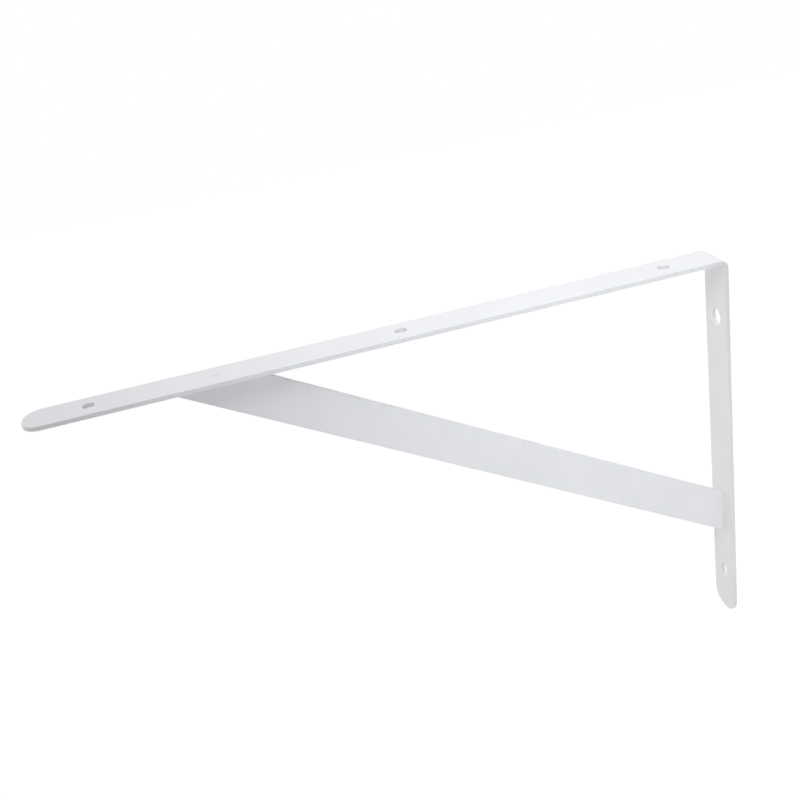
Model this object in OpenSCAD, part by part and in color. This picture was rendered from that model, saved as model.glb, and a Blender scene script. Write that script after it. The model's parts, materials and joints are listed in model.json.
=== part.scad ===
// Braced shelf bracket: a flat bar bent to a right angle, with a flat strip on edge
// welded across the corner. Millimetres, +Z up. X runs out from the wall, Y across
// the bar. The origin is the upper wall hole's centre on the wall face.

/* [Angle bar] */
// Length of the shelf arm, from the wall face to its tip
shelf_arm_l = 500; // [460:1:700]
// Height of the wall arm, from the shelf face to its foot
wall_arm_h = 315; // [300:1:450]
// Width of the flat bar
bar_w = 30; // [24:1:50]
// Thickness of the flat bar
bar_t = 3.2; // [2.6:0.1:6]
// Radius of the bar's rounded edges
bar_edge_r = 0.4; // [0.3:0.1:1.2]
// Inside radius of the bend between the arms
bend_inner_r = 2.8; // [1:0.1:10]
// Radius of the corners at the tip and the foot
end_corner_r = 13; // [3:0.5:15]

/* [Holes] */
// Diameter of the holes for the shelf screws
shelf_hole_d = 8.5; // [4:0.5:13]
// Distance of the rear shelf hole from the wall face
shelf_hole_rear = 43; // [25:1:80]
// Distance of the middle shelf hole from the wall face
shelf_hole_middle = 240; // [150:1:320]
// Distance of the front shelf hole from the tip
shelf_hole_front_inset = 44; // [20:1:70]
// Diameter of the upper wall hole
wall_hole_upper_d = 13; // [6:0.5:16]
// Distance of the upper wall hole below the shelf face
wall_hole_upper_drop = 48; // [30:1:120]
// Diameter of the lower wall hole
wall_hole_lower_d = 10; // [5:0.5:16]
// Distance of the lower wall hole above the foot
wall_hole_lower_inset = 37.5; // [20:0.5:50]

/* [Brace] */
// Width of the brace strip
brace_w = 32; // [20:1:40]
// Thickness of the brace strip
brace_t = 3; // [2:0.1:6]
// Radius of the strip's rounded edges
brace_edge_r = 0.4; // [0.2:0.1:0.9]
// Distance of the brace's upper corner on the shelf arm from the wall face
brace_reach = 344; // [280:1:360]
// Distance of the brace's upper corner on the wall arm below the shelf face
brace_drop = 200.5; // [160:0.5:220]

/* [Weld marks] */
// Diameter of the shallow dish left on the outer face over each weld
weld_mark_d = 8.6; // [5:0.1:12]
// Depth of the dish
weld_mark_depth = 0.4; // [0.1:0.05:0.8]
// Place of the dish along the strip's seat, from the strip's upper corner
weld_mark_share = 0.41; // [0.25:0.01:0.75]

/* [Hidden] */
$fn = 96;
coat = "whitesmoke";
bend_outer_r = bend_inner_r + bar_t;
end_r = min(end_corner_r, bar_w / 2);
end_flat_w = bar_w - 2 * end_r;
slope = atan2(brace_drop - bar_t, brace_reach - bar_t);
strip_l = norm([brace_reach - bar_t, brace_drop - bar_t]);
strip_overrun = brace_w * (tan(slope) + 1 / tan(slope));
shelf_seat_l = brace_w / sin(slope);
wall_seat_l = brace_w / cos(slope);
weld_mark_r = (pow(weld_mark_d / 2, 2) + pow(weld_mark_depth, 2)) / (2 * weld_mark_depth);
cut_margin = 1;

// Section of rolled flat stock: w across x, from 0 down to -t in y, corners rounded
module flat_section(w, t, r) {
    translate([-w / 2 + r, -t]) square([w - 2 * r, t]);
    translate([-w / 2, -t + r]) square([w, t - 2 * r]);
    for (x = [-w / 2 + r, w / 2 - r], y = [-t + r, -r]) {
        translate([x, y]) circle(r);
    }
}

// Half of the bar's section, from the middle of an end to its rounded edge
module end_section() {
    intersection() {
        flat_section(2 * end_r, bar_t, bar_edge_r);
        translate([0, -bar_t]) square([end_r, bar_t]);
    }
}

// Straight length of the bar along +X, outer face at z = 0
module straight_bar(l) {
    rotate([90, 0, 90]) linear_extrude(l) flat_section(bar_w, bar_t, bar_edge_r);
}

// Last stretch of an arm along +X, with rounded corners and the same rounded edge all round
module bar_end() {
    for (side = [0, 1]) {
        mirror([0, side, 0]) translate([0, end_flat_w / 2, 0]) rotate_extrude(angle = 90) end_section();
    }
    if (end_flat_w > 0) {
        translate([0, end_flat_w / 2, 0]) rotate([90, 0, 0]) linear_extrude(end_flat_w) end_section();
    }
}

// One arm along +X: straight from the bend, then its rounded end at length l
module arm(l) {
    translate([bend_outer_r, 0, 0]) straight_bar(l - bend_outer_r - end_r);
    translate([l - end_r, 0, 0]) bar_end();
}

// Quarter turn that carries the bar's section from one arm to the other
module bend() {
    translate([bend_outer_r, 0, -bend_outer_r]) rotate([90, 0, 0]) rotate([0, 0, 90])
        rotate_extrude(angle = 90) translate([bend_outer_r, 0]) rotate(-90)
            flat_section(bar_w, bar_t, bar_edge_r);
}

// Hole through the shelf arm at distance x from the wall face
module shelf_hole(x) {
    translate([x, 0, -bar_t - cut_margin]) cylinder(h = bar_t + 2 * cut_margin, d = shelf_hole_d);
}

// Hole through the wall arm at distance drop below the shelf face
module wall_hole(drop, d) {
    translate([-cut_margin, 0, -drop]) rotate([0, 90, 0]) cylinder(h = bar_t + 2 * cut_margin, d = d);
}

// Ball that leaves the dish of a weld mark in a face at z = 0
module weld_mark() {
    translate([0, 0, weld_mark_r - weld_mark_depth]) sphere(weld_mark_r);
}

// Space inside the corner of the two arms, as wide as the strip needs
module corner_space() {
    translate([bar_t, -brace_t, -wall_arm_h]) cube([shelf_arm_l, 2 * brace_t, wall_arm_h - bar_t]);
}

// Flat bar bent to a right angle, with its screw holes and weld marks
module angle_bar() {
    color(coat) translate([0, 0, wall_hole_upper_drop]) difference() {
        union() {
            arm(shelf_arm_l);
            bend();
            mirror([1, 0, 1]) arm(wall_arm_h);
        }
        shelf_hole(shelf_hole_rear);
        shelf_hole(shelf_hole_middle);
        shelf_hole(shelf_arm_l - shelf_hole_front_inset);
        wall_hole(wall_hole_upper_drop, wall_hole_upper_d);
        wall_hole(wall_arm_h - wall_hole_lower_inset, wall_hole_lower_d);
        translate([brace_reach + weld_mark_share * shelf_seat_l, 0, 0]) weld_mark();
        translate([0, 0, -brace_drop - weld_mark_share * wall_seat_l]) rotate([0, -90, 0]) weld_mark();
    }
}

// Flat strip on edge, cut at both ends to seat on the inner faces of the arms
module brace() {
    color(coat) translate([0, 0, wall_hole_upper_drop]) intersection() {
        translate([bar_t, 0, -brace_drop]) rotate([0, 90 - slope, 0])
            translate([brace_w / 2, brace_t / 2, -strip_overrun])
                linear_extrude(strip_l + 2 * strip_overrun) flat_section(brace_w, brace_t, brace_edge_r);
        corner_space();
    }
}

angle_bar();
brace();
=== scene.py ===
"""Looks of a braced shelf bracket: a bent flat bar with a flat strip welded across its corner.

The bar is worked out as the flat blank it is made from, in distances along and across its outer
face, and a bending formula then folds it to the bracket. Metres, in the frame of the CAD model.
"""
import json
import math

import bmesh
import bpy
import numpy as np
from mathutils import Matrix, Vector


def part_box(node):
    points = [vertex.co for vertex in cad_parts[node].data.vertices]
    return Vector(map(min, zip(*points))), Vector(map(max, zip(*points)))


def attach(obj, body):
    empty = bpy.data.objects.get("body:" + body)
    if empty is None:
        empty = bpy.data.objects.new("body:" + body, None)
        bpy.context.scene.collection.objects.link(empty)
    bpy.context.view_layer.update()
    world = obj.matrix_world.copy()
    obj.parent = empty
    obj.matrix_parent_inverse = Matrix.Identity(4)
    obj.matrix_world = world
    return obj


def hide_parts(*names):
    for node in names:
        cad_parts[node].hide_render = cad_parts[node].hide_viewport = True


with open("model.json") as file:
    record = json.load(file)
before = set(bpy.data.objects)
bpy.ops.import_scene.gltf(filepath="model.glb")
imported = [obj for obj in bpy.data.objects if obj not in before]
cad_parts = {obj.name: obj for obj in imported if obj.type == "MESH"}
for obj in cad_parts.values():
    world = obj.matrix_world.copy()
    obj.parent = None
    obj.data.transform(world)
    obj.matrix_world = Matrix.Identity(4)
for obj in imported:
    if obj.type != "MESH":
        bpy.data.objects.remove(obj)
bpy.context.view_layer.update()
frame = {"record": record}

MM = 0.001

# Sizes of the bar, from the frame and its record
mounts = {mount["name"]: mount for mount in frame["record"]["mounts"]}
bar_low, bar_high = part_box("angle_bar")
bar_w = bar_high.y - bar_low.y
bar_t = mounts["shelf_middle"]["dims"]["length_mm"] * MM
shelf_z = bar_high.z
foot_z = bar_low.z
tip_x = bar_high.x

# Radii that the box doesn't tell
bar_edge_r = 0.4 * MM
bend_outer_r = 6.0 * MM
end_corner_r = 13.0 * MM
hole_rim_r = 0.2 * MM

# The blank's distances, measured along the outer face from the end of the bend on the shelf arm,
# half the width of its flat face, and half the length of a panel round a hole or a weld mark
bend_l = bend_outer_r * math.pi / 2
blank_tip = tip_x - bend_outer_r
blank_foot = -bend_l - (shelf_z - foot_z - bend_outer_r)
flat_half_w = bar_w / 2 - bar_edge_r
panel_half_l = 14.0 * MM

# The strip's width, thickness and corners, where its upper edge meets the two arms, how long its
# seats there are, and the fillet of coat round them
brace_w = 32.0 * MM
brace_t = 3.0 * MM
brace_edge_r = 0.4 * MM
brace_reach = 344.0 * MM
brace_drop = 200.5 * MM
brace_slope = math.atan2(brace_drop - bar_t, brace_reach - bar_t)
shelf_seat_l = brace_w / math.sin(brace_slope)
wall_seat_l = brace_w / math.cos(brace_slope)
coat_fillet_r = 0.7 * MM

# Weld marks: their size, and their place along each of the strip's two seats
weld_mark_d = 8.6 * MM
weld_mark_depth = 0.4 * MM
weld_mark_share = 0.41
shelf_weld_x = brace_reach + weld_mark_share * shelf_seat_l
wall_weld_z = shelf_z - brace_drop - weld_mark_share * wall_seat_l

# Fineness of the meshes
ACROSS = 14
ALONG_PANEL = 10
ROUND_STEPS = 6
CORNER_STEPS = 18
BEND_STEPS = 20
FACE_ROWS = 7
DISH_ROWS = 12
RAY_GROWTH = 1.6
STRETCH_STEP = 12.0 * MM
MERGE_DISTANCE = 0.0005 * MM
SHARP_ANGLE = math.radians(50.0)

# The coat: its two tones and their places in the drift, its sheen, and the sizes of its patterns
COAT_TONES = ("#EDEEF1", "#F1F2F5")
TONE_PLACES = (0.3, 0.7)
COAT_ROUGHNESS = (0.36, 0.44)
COAT_IOR = 1.5
drift_size = 35.0 * MM
peel_size = 4.0 * MM
peel_depth = 0.06 * MM

# Painted shade, 0 to 1, and the grey tone it mixes towards: in narrow holes, in the corners at the strip's
# seats, and on the bar's edges round the bend, fading out along each arm. The same tone also darkens each
# weld mark
SHADE_AND_WELD_TONE = "#CECDCB"
PAINTED_SHADE_IN_HOLES = 0.45
DARKER_OVER_WELD = 0.3
PAINTED_SHADE_AT_SEATS = 0.6
PAINTED_SHADE_ON_EDGES = 0.48
narrow_hole_r = 4.5 * MM
corner_reach = 4.5 * MM
shelf_edge_fade = 14.0 * MM
wall_edge_fade = 300.0 * MM

# The room: its light, the way that leans, what it gains in red, green and blue towards +X, and the
# white that it shows behind the bracket
ROOM_LEVEL = 0.636
ROOM_LEAN = (0.062, -0.550, 0.0)
ROOM_WARMTH = (0.056, 0.020, -0.037)
BACKDROP_COLOUR = "#FFFFFF"

# Three gridded softboxes, with spread in degrees and power in watts
SOFTBOX_SIZE = 0.5
SOFTBOX_COLOUR = "#FCFEFF"
SOFTBOXES = {
    "back_top_softbox": dict(place=(-0.3, 0.3, 0.9), aim=(0.1, 0.0, 0.0), spread=50.0, power=0.192),
    "top_softbox": dict(place=(0.45, 0.5, 0.8), aim=(0.08, 0.0, 0.0), spread=45.0, power=0.326),
    "front_softbox": dict(place=(0.25, 1.1, -0.6), aim=(0.05, 0.0, -0.05), spread=40.0, power=0.4),
}

# The floor: how far below the shelf, its side, its paint, and the glow that brings it up to white
SHELF_HEIGHT = 1.2
FLOOR_SIZE = 12.0
FLOOR_COLOUR = "#EBEBEC"
FLOOR_LIFT = 0.49

# The camera at the photograph's place, with its sensor and focal length in millimetres
SENSOR_WIDTH = 36.0
FOCAL_LENGTH = 46.83
CAMERA_PLACE = Vector((355.7, 662.9, 313.3)) * MM
CAMERA_AIM = Vector((249.19, 0.0, -3.67)) * MM
CAMERA_ROLL = math.radians(-10.143)
NEAR_CLIP = 10.0 * MM


def on_shelf_arm(x):
    """Place along the blank of a point of the shelf arm, x out from the wall."""
    return x - bend_outer_r


def on_wall_arm(z):
    """Place along the blank of a point of the wall arm at height z."""
    return -bend_l - (shelf_z - z - bend_outer_r)


def fold(s, y, d):
    """The bent bar: s along the blank, y across it and d into the metal from its outer face.

    Past the bend's two ends the point moves straight along an arm. On the bend it turns about
    the bend's centre, by an angle equal to the distance gone divided by the outer radius.
    """
    s, y, d = np.broadcast_arrays(s, y, d)
    turn = np.clip(-s / bend_outer_r, 0.0, math.pi / 2)
    out = np.maximum(s, 0.0)
    down = np.maximum(-s - bend_l, 0.0)
    x = bend_outer_r - (bend_outer_r - d) * np.sin(turn) + out
    z = shelf_z - bend_outer_r + (bend_outer_r - d) * np.cos(turn) - down
    return np.stack([x, y, z], axis=-1)


def wrapped_edge(path, outward, r):
    """The bar's edge carried along a path on its face: a quarter round, a straight, a quarter round.

    The path lies r inside the edge, and outward is its unit normal in the plane of the blank.
    """
    angle = np.linspace(0.0, math.pi / 2, ROUND_STEPS + 1)
    reach = np.concatenate([r * np.sin(angle), r * np.cos(angle)])
    depth = np.concatenate([r - r * np.cos(angle), bar_t - r + r * np.sin(angle)])
    s = path[:, None, 0] + outward[:, None, 0] * reach
    y = path[:, None, 1] + outward[:, None, 1] * reach
    return fold(s, y, depth[None, :])


def faces(s, y, dish=0.0):
    """One patch of the bar's outer face, sunk by dish, and the same patch of its inner face."""
    return [fold(s, y, dish), fold(s, y, bar_t)]


def side_edges(s):
    """The bar's two long edges over the distances s of the blank."""
    grids = []
    for side in (-1.0, 1.0):
        path = np.stack([s, np.full_like(s, side * flat_half_w)], axis=-1)
        outward = np.broadcast_to([0.0, side], path.shape)
        grids.append(wrapped_edge(path, outward, bar_edge_r))
    return grids


def stretch(start, end, steps=None):
    """A plain length of the bar: the rectangle of s by y, with its two edges."""
    steps = steps or max(1, round((end - start) / STRETCH_STEP))
    s = np.linspace(start, end, steps + 1)
    y = np.linspace(-flat_half_w, flat_half_w, ACROSS + 1)
    return faces(*np.meshgrid(s, y, indexing="ij")) + side_edges(s)


def panel_border():
    """Closed rectangle round a panel's middle: its half length along, the flat's half width across."""
    along = np.linspace(-panel_half_l, panel_half_l, ALONG_PANEL + 1)
    across = np.linspace(-flat_half_w, flat_half_w, ACROSS + 1)
    sides = [
        (along, np.full_like(along, -flat_half_w)),
        (np.full_like(across, panel_half_l), across),
        (along[::-1], np.full_like(along, flat_half_w)),
        (np.full_like(across, -panel_half_l), across[::-1]),
    ]
    return np.concatenate([np.stack(side, axis=-1)[:-1] for side in sides])


def panel_edges(place):
    """The bar's two long edges beside a panel with its middle at place."""
    return side_edges(place + np.linspace(-panel_half_l, panel_half_l, ALONG_PANEL + 1))


def end_border(ahead):
    """Border of an end panel, from its open side, round the two rounded corners, and back.

    The open side lies half a panel behind the hole, and the arm's end lies ahead of it.
    """
    r = end_corner_r - bar_edge_r
    centre_s = ahead - bar_edge_r - r
    centre_y = flat_half_w - r
    angle = np.linspace(0.0, math.pi / 2, CORNER_STEPS + 1)
    along = np.linspace(-panel_half_l, centre_s, ALONG_PANEL + 1)[:-1]
    rise = np.stack([along, np.full_like(along, -flat_half_w)], axis=-1)
    corner = np.stack([centre_s + r * np.sin(angle), -centre_y - r * np.cos(angle)], axis=-1)
    return np.concatenate([rise, corner, corner[::-1] * [1, -1], rise[::-1] * [1, -1]])


def closed(loop):
    """The loop with its first point again at its end."""
    return np.concatenate([loop, loop[:1]])


def rays(border, inner, rows):
    """Polar grid between a circle of radius inner about the origin and a border round it.

    Row by row a point runs along the ray to its border point. The share of the way that it has
    gone is the share of the rows, raised to a power that makes the steps grow outwards.
    """
    length = np.linalg.norm(border, axis=-1, keepdims=True)
    share = np.linspace(0.0, 1.0, rows + 1)[None, :] ** RAY_GROWTH
    distance = inner + (length - inner) * share
    return (border / length)[:, None, :] * distance[..., None]


def holed(place, border, hole_r):
    """A panel with a screw hole: rays from the hole's rim to the border, and the rim itself."""
    rim = hole_r + hole_rim_r
    grid = rays(closed(border), rim, FACE_ROWS)
    ring = grid[:, 0, :]
    edge = wrapped_edge(ring + [place, 0.0], -ring / rim, hole_rim_r)
    return faces(place + grid[..., 0], grid[..., 1]) + [edge]


def hole_panel(place, hole_r):
    """A rectangle of the bar with a screw hole in its middle."""
    return holed(place, panel_border(), hole_r) + panel_edges(place)


def weld_panel(place):
    """A rectangle of the bar with a weld mark: a round dish whose depth falls off as a smooth hump.

    The depth at distance q of the dish's radius is the full depth times (1 - q squared) squared.
    """
    border = closed(panel_border())
    radius = weld_mark_d / 2
    circle = border / np.linalg.norm(border, axis=-1, keepdims=True) * radius
    inside = rays(circle, 0.0, DISH_ROWS)
    outside = rays(border, radius, FACE_ROWS)
    grids = []
    for grid in (inside, outside):
        q = np.minimum(np.linalg.norm(grid, axis=-1) / radius, 1.0)
        grids += faces(place + grid[..., 0], grid[..., 1], weld_mark_depth * (1 - q**2) ** 2)
    return grids + panel_edges(place)


def end_panel(place, ahead, direction, hole_r):
    """An arm's last length, with its screw hole and the rounded edge carried round its end.

    The edge points away from the nearest point of the rectangle that ends at the corners' centres.
    """
    border = end_border(ahead)
    centre_y = bar_w / 2 - end_corner_r
    middle_s = np.minimum(border[:, 0], ahead - end_corner_r)
    middle_y = np.clip(border[:, 1], -centre_y, centre_y)
    outward = border - np.stack([middle_s, middle_y], axis=-1)
    outward = outward / np.linalg.norm(outward, axis=-1, keepdims=True)
    turned = np.array([direction, 1.0])
    across = np.linspace(flat_half_w, -flat_half_w, ACROSS + 1)[1:-1]
    open_side = np.stack([np.full_like(across, -panel_half_l), across], axis=-1)
    edge = wrapped_edge(border * turned + [place, 0.0], outward * turned, bar_edge_r)
    return holed(place, np.concatenate([border, open_side]) * turned, hole_r) + [edge]


def angle_bar_grids():
    """All patches of the bar: the bend, the two ends, the panels, and the plain lengths between them."""
    radius = {name: mount["dims"].get("r_mm", 0.0) * MM for name, mount in mounts.items()}
    shelf_at = {name: on_shelf_arm(mount["pos_m"][0]) for name, mount in mounts.items()}
    wall_at = {name: on_wall_arm(mount["pos_m"][2]) for name, mount in mounts.items()}
    foot_hole = wall_at["wall_lower"]
    tip_hole = shelf_at["shelf_front"]
    middles = [
        (wall_at["wall_upper"], radius["wall_upper"]),
        (on_wall_arm(wall_weld_z), None),
        (shelf_at["shelf_rear"], radius["shelf_rear"]),
        (shelf_at["shelf_middle"], radius["shelf_middle"]),
        (on_shelf_arm(shelf_weld_x), None),
    ]
    grids = stretch(-bend_l, 0.0, BEND_STEPS)
    grids += end_panel(foot_hole, foot_hole - blank_foot, -1.0, radius["wall_lower"])
    grids += end_panel(tip_hole, blank_tip - tip_hole, 1.0, radius["shelf_front"])
    taken = [(blank_foot, foot_hole + panel_half_l), (-bend_l, 0.0), (tip_hole - panel_half_l, blank_tip)]
    for place, hole_r in middles:
        grids += weld_panel(place) if hole_r is None else hole_panel(place, hole_r)
        taken.append((place - panel_half_l, place + panel_half_l))
    taken.sort()
    for (_, start), (end, _) in zip(taken, taken[1:]):
        grids += stretch(start, end)
    return grids


def brace_section():
    """One broad side of the strip's section, with the rounded corners at its upper and lower edge.

    Three rows of numbers: v, down across the strip's width; w, out from its middle plane; and the
    outward share of w, the sine of the angle turned on a corner and 1 on the broad side.
    """
    angle = np.linspace(0.0, math.pi / 2, ROUND_STEPS + 1)
    r = brace_edge_r
    v_side = np.linspace(r, brace_w - r, ACROSS + 1)[1:-1]
    v = np.concatenate([r - r * np.cos(angle), v_side, brace_w - r + r * np.sin(angle)])
    share = np.concatenate([np.sin(angle), np.ones_like(v_side), np.cos(angle)])
    return v, brace_t / 2 - r + r * share, share


def brace_grids():
    """The strip: its section carried along the slope, between the planes of the two arms' inner faces.

    Each point of the section runs a straight line, cut where it meets the wall arm and the shelf
    arm, with rows that lie closer towards both ends. Within a coat's fillet of an arm the broad
    sides swing out on a quarter round.
    """
    v, w, share = brace_section()
    cos, sin = math.cos(brace_slope), math.sin(brace_slope)
    start = -v * sin / cos
    end = (brace_drop - bar_t + v * cos) / sin
    near_wall = coat_fillet_r / cos * np.linspace(0.0, 1.0, ROUND_STEPS + 1)
    near_shelf = coat_fillet_r / sin * np.linspace(1.0, 0.0, ROUND_STEPS + 1)
    rows = round(float(np.median(end - start)) / STRETCH_STEP)
    between = (1 - np.cos(np.linspace(0.0, math.pi, rows + 1)))[None, 1:-1] / 2
    first = start[:, None] + near_wall
    last = end[:, None] - near_shelf
    middle = first[:, -1:] + (last[:, :1] - first[:, -1:]) * between
    along = np.concatenate([first, middle, last], axis=1)
    x = bar_t + along * cos + v[:, None] * sin
    z = shelf_z - brace_drop + along * sin - v[:, None] * cos
    clear = np.minimum(np.minimum(x - bar_t, shelf_z - bar_t - z), coat_fillet_r)
    swing = coat_fillet_r - np.sqrt(np.maximum(coat_fillet_r**2 - (coat_fillet_r - clear) ** 2, 0.0))
    y = w[:, None] + swing * share[:, None]
    sides = [np.stack([x, side * y, z], axis=-1) for side in (-1.0, 1.0)]
    edges = [np.stack([side[row] for side in sides]) for row in (0, -1)]
    ends = [np.stack([side[:, row] for side in sides], axis=1) for row in (0, -1)]
    return sides + edges + ends


def thin_on_bar(points):
    """How much darker the bar is made at its points: painted shade on its edges and in narrow holes, and a
    darker tone over a weld.

    A point is on an edge, or in a hole, as far as it lies past the border of the flat face. From the
    bend on, the edges' value falls in a straight line along each arm.
    Over a weld the value is the full one times 1 - q squared, q being the share of the dish's radius.
    """
    # painted shade on the bar's edges round the bend, fading out along each arm
    on_edge = np.clip((np.abs(points[:, 1]) - flat_half_w) / bar_edge_r, 0.0, 1.0)
    from_bend = np.maximum(points[:, 0] - bar_t, 0.0) / shelf_edge_fade
    from_bend += np.maximum(shelf_z - bar_t - points[:, 2], 0.0) / wall_edge_fade
    thin = PAINTED_SHADE_ON_EDGES * on_edge * np.maximum(1 - from_bend, 0.0)
    # painted shade in narrow holes
    for mount in mounts.values():
        hole_r = mount["dims"].get("r_mm", 0.0) * MM
        if not 0 < hole_r < narrow_hole_r:
            continue
        away = points - np.array(mount["pos_m"])
        along = away @ np.array(mount["axis"], float)
        radial = np.sqrt(np.maximum((away**2).sum(axis=1) - along**2, 0.0))
        inside = np.clip((hole_r - radial) / hole_rim_r + 1, 0.0, 1.0)
        thin = np.maximum(thin, PAINTED_SHADE_IN_HOLES * inside)
    # a darker tone over each weld mark
    for weld in ((shelf_weld_x, 0.0, shelf_z), (0.0, 0.0, wall_weld_z)):
        q = np.linalg.norm(points - np.array(weld), axis=1) / (weld_mark_d / 2)
        thin = np.maximum(thin, DARKER_OVER_WELD * np.maximum(1 - q**2, 0.0))
    return thin


def thin_on_brace(points):
    """Painted shade in the corners at the strip's seats, at points of the strip: less and less away from
    the nearer arm.
    """
    clear = np.minimum(points[:, 0] - bar_t, shelf_z - bar_t - points[:, 2])
    return PAINTED_SHADE_AT_SEATS * np.exp(-np.maximum(clear, 0.0) / corner_reach)


def add_piece(name, grids, thin, material):
    """One closed mesh from grids of points: a quad between each four neighbours, equal points merged.

    The point attribute takes the value of the darkening function at each point: painted shade, and
    the darker tone of weld marks. Broad faces keep their own direction in the shading, and edges sharper
    than the limit stay sharp.
    """
    points, quads, count = [], [], 0
    for grid in grids:
        rows, columns = grid.shape[:2]
        index = count + np.arange(rows * columns).reshape(rows, columns)
        corners = [index[:-1, :-1], index[1:, :-1], index[1:, 1:], index[:-1, 1:]]
        quads.append(np.stack(corners, axis=-1).reshape(-1, 4))
        points.append(grid.reshape(-1, 3))
        count += rows * columns
    mesh = bpy.data.meshes.new(name)
    mesh.from_pydata(np.concatenate(points).tolist(), [], np.concatenate(quads).tolist())
    shape = bmesh.new()
    shape.from_mesh(mesh)
    bmesh.ops.remove_doubles(shape, verts=shape.verts, dist=MERGE_DISTANCE)
    bmesh.ops.recalc_face_normals(shape, faces=shape.faces)
    shape.to_mesh(mesh)
    shape.free()
    mesh.shade_smooth()
    mesh.set_sharp_from_angle(angle=SHARP_ANGLE)
    places = np.empty(3 * len(mesh.vertices), np.float32)
    mesh.vertices.foreach_get("co", places)
    thin_coat = mesh.attributes.new("thin_coat", "FLOAT", "POINT")
    thin_coat.data.foreach_set("value", thin(places.reshape(-1, 3)).astype(np.float32))
    mesh.materials.append(material)
    piece = bpy.data.objects.new(name, mesh)
    bpy.context.scene.collection.objects.link(piece)
    even = piece.modifiers.new("even_shading", "WEIGHTED_NORMAL")
    even.mode = "FACE_AREA"
    even.weight = 100
    even.keep_sharp = True
    return piece


def linear(hex_colour):
    """sRGB hex, such as "#F0F0F0", to linear red, green, blue and alpha."""
    srgb = np.array([int(hex_colour[i : i + 2], 16) for i in (1, 3, 5)]) / 255
    value = np.where(srgb <= 0.04045, srgb / 12.92, ((srgb + 0.055) / 1.055) ** 2.4)
    return (*value.tolist(), 1.0)


def add_node(tree, kind, settings=None, inputs=None):
    """Adds a node. Settings are its own fields, and inputs go by their sockets' names or numbers.

    An input is a constant, or an output to link from. A Mix of colours has its factor at 0, its
    colours at 6 and 7 and its result at 2.
    """
    node = tree.nodes.new(kind)
    for field, value in (settings or {}).items():
        setattr(node, field, value)
    for socket, value in (inputs or {}).items():
        if isinstance(value, bpy.types.NodeSocket):
            tree.links.new(value, node.inputs[socket])
        else:
            node.inputs[socket].default_value = value
    return node


def powder_coat():
    """White satin powder coat on steel, baked on in one layer.

    To the eye: a slightly cool white with a soft, broad sheen. The melted powder leaves a faint
    orange peel, really a couple of millimetres across and drawn twice as coarse so that it can show.
    The film's thickness drifts a little over some centimetres, which shows as the slightest change
    of tone and sheen. Shade is painted into the colour: a greyer tone in narrow holes, in the corners
    at the strip's seats and on the edges round the bend, and the same tone darkens the weld marks.
    """
    material = bpy.data.materials.new("satin_powder_coated_steel")
    material.use_nodes = True
    tree = material.node_tree
    tree.nodes.clear()
    where = add_node(tree, "ShaderNodeTexCoord").outputs["Object"]
    drift = {"Vector": where, "Scale": 1 / drift_size, "Detail": 2.0}
    film = add_node(tree, "ShaderNodeTexNoise", inputs=drift).outputs["Fac"]
    tone = add_node(tree, "ShaderNodeValToRGB", inputs={"Fac": film})
    for stop, place, colour in zip(tone.color_ramp.elements, TONE_PLACES, COAT_TONES):
        stop.position = place
        stop.color = linear(colour)
    # painted shade and the weld marks' darker tone, read from the pieces' points, mix the coat towards the
    # grey tone
    thin = add_node(tree, "ShaderNodeAttribute", {"attribute_name": "thin_coat"})
    mixed = {0: thin.outputs["Fac"], 6: tone.outputs["Color"], 7: linear(SHADE_AND_WELD_TONE)}
    shade = add_node(tree, "ShaderNodeMix", {"data_type": "RGBA"}, mixed)
    limits = {"Value": film, "To Min": COAT_ROUGHNESS[0], "To Max": COAT_ROUGHNESS[1]}
    sheen = add_node(tree, "ShaderNodeMapRange", inputs=limits)
    peel = {"Vector": where, "Scale": 1 / peel_size, "Detail": 1.5}
    skin = add_node(tree, "ShaderNodeTexNoise", inputs=peel).outputs["Fac"]
    relief = {"Height": skin, "Strength": 1.0, "Distance": peel_depth}
    dimple = add_node(tree, "ShaderNodeBump", inputs=relief)
    finish = {
        "Base Color": shade.outputs[2],
        "Roughness": sheen.outputs["Result"],
        "IOR": COAT_IOR,
        "Normal": dimple.outputs["Normal"],
    }
    film_on_steel = add_node(tree, "ShaderNodeBsdfPrincipled", inputs=finish)
    add_node(tree, "ShaderNodeOutputMaterial", inputs={"Surface": film_on_steel.outputs["BSDF"]})
    return material


def seen(tree):
    """1 for rays that show the backdrop, from the camera, mirrored or through glass, and 0 for the rest."""
    path = add_node(tree, "ShaderNodeLightPath").outputs
    largest = {"operation": "MAXIMUM"}
    shown = add_node(tree, "ShaderNodeMath", largest, {0: path["Is Camera Ray"], 1: path["Is Glossy Ray"]})
    either = {0: shown.outputs["Value"], 1: path["Is Transmission Ray"]}
    return add_node(tree, "ShaderNodeMath", largest, either).outputs["Value"]


def floor_paint():
    """Pale matt studio paint. Seen directly it glows up to the white of the room and keeps its shadows."""
    material = bpy.data.materials.new("pale_studio_floor")
    material.use_nodes = True
    tree = material.node_tree
    tree.nodes.clear()
    matt = add_node(tree, "ShaderNodeBsdfDiffuse", inputs={"Color": linear(FLOOR_COLOUR)})
    limits = {"Value": seen(tree), "To Min": 0.0, "To Max": FLOOR_LIFT}
    lift = add_node(tree, "ShaderNodeMapRange", inputs=limits)
    white_glow = {"Color": linear(BACKDROP_COLOUR), "Strength": lift.outputs["Result"]}
    glow = add_node(tree, "ShaderNodeEmission", inputs=white_glow)
    added = {0: matt.outputs["BSDF"], 1: glow.outputs["Emission"]}
    both = add_node(tree, "ShaderNodeAddShader", inputs=added)
    add_node(tree, "ShaderNodeOutputMaterial", inputs={"Surface": both.outputs["Shader"]})
    return material


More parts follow.
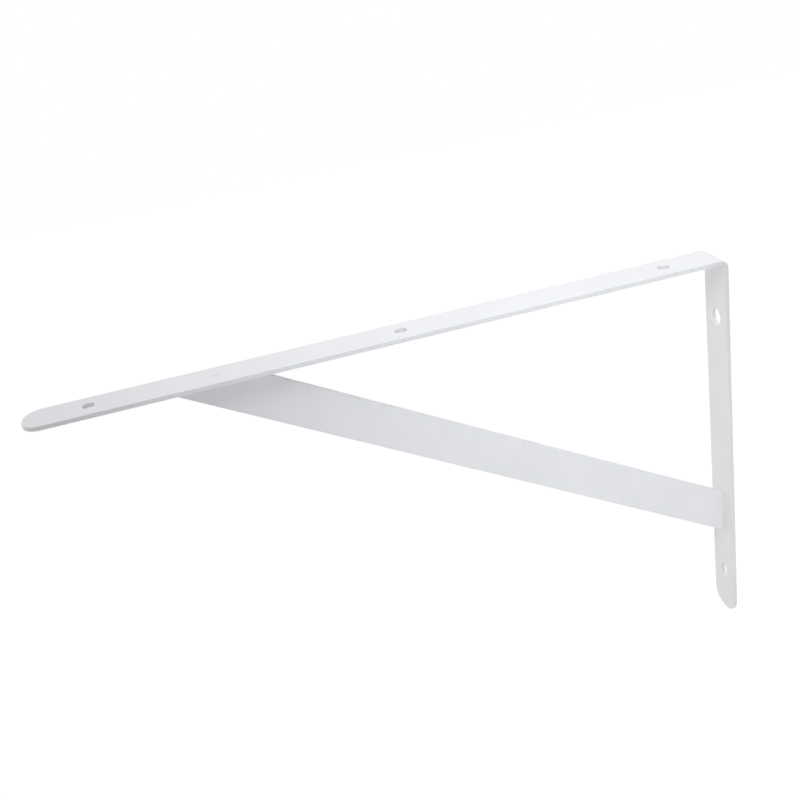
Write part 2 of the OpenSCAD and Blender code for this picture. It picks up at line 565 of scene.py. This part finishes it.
def room_light():
    """The white room: soft light from all round, brighter behind the bracket, and a white backdrop.

    Its level is an even one plus the dot product of the direction with the lean. It is a touch
    warmer on the side that the wall arm faces, by the direction's X times the warmth.
    """
    world = bpy.data.worlds.new("white_room")
    bpy.context.scene.world = world
    world.use_nodes = True
    tree = world.node_tree
    tree.nodes.clear()
    towards = add_node(tree, "ShaderNodeTexCoord").outputs["Generated"]
    lean = add_node(tree, "ShaderNodeVectorMath", {"operation": "DOT_PRODUCT"}, {0: towards, 1: ROOM_LEAN})
    added = {0: lean.outputs["Value"], 1: ROOM_LEVEL}
    level = add_node(tree, "ShaderNodeMath", {"operation": "ADD"}, added)
    side = add_node(tree, "ShaderNodeSeparateXYZ", inputs={"Vector": towards})
    warmed = {0: side.outputs["X"], 1: ROOM_WARMTH, 2: level.outputs["Value"]}
    tint = add_node(tree, "ShaderNodeVectorMath", {"operation": "MULTIPLY_ADD"}, warmed)
    mixed = {0: seen(tree), 6: tint.outputs["Vector"], 7: linear(BACKDROP_COLOUR)}
    shade = add_node(tree, "ShaderNodeMix", {"data_type": "RGBA"}, mixed)
    air = add_node(tree, "ShaderNodeBackground", inputs={"Color": shade.outputs[2], "Strength": 1.0})
    add_node(tree, "ShaderNodeOutputWorld", inputs={"Surface": air.outputs["Background"]})


def softboxes():
    """Three softboxes aimed at the bracket's corner, so their beams fade towards the shelf arm's tip."""
    for name, box in SOFTBOXES.items():
        lamp = bpy.data.lights.new(name, "AREA")
        lamp.size = SOFTBOX_SIZE
        lamp.spread = math.radians(box["spread"])
        lamp.energy = box["power"]
        lamp.color = linear(SOFTBOX_COLOUR)[:3]
        softbox = bpy.data.objects.new(name, lamp)
        softbox.location = box["place"]
        beam = Vector(box["aim"]) - Vector(box["place"])
        softbox.rotation_euler = beam.to_track_quat("-Z", "Y").to_euler()
        bpy.context.scene.collection.objects.link(softbox)


def studio_floor():
    """A plain square floor below the shelf."""
    half = FLOOR_SIZE / 2
    level = shelf_z - SHELF_HEIGHT
    corners = [(-half, -half, level), (half, -half, level), (half, half, level), (-half, half, level)]
    mesh = bpy.data.meshes.new("floor")
    mesh.from_pydata(corners, [], [(0, 1, 2, 3)])
    mesh.materials.append(floor_paint())
    floor = bpy.data.objects.new("floor", mesh)
    bpy.context.scene.collection.objects.link(floor)


def camera():
    """The camera at the photograph's place: aimed at the bracket's middle plane, and rolled."""
    lens = bpy.data.cameras.new("camera")
    lens.sensor_width = SENSOR_WIDTH
    lens.lens = FOCAL_LENGTH
    lens.clip_start = NEAR_CLIP
    turn = (CAMERA_AIM - CAMERA_PLACE).to_track_quat("-Z", "Y").to_matrix().to_4x4()
    view = bpy.data.objects.new("camera", lens)
    view.matrix_world = Matrix.Translation(CAMERA_PLACE) @ turn @ Matrix.Rotation(CAMERA_ROLL, 4, "Z")
    bpy.context.scene.collection.objects.link(view)
    bpy.context.scene.camera = view


coat = powder_coat()
# each piece gets its mesh and its function of painted shade and weld darkening
pieces = {"angle_bar": (angle_bar_grids(), thin_on_bar), "brace": (brace_grids(), thin_on_brace)}
for node, (grids, thin) in pieces.items():
    piece = add_piece("coated_" + node, grids, thin, coat)
    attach(piece, "root")
    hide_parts(node)

room_light()
softboxes()
studio_floor()
camera()
bpy.context.scene.view_settings.view_transform = "Standard"
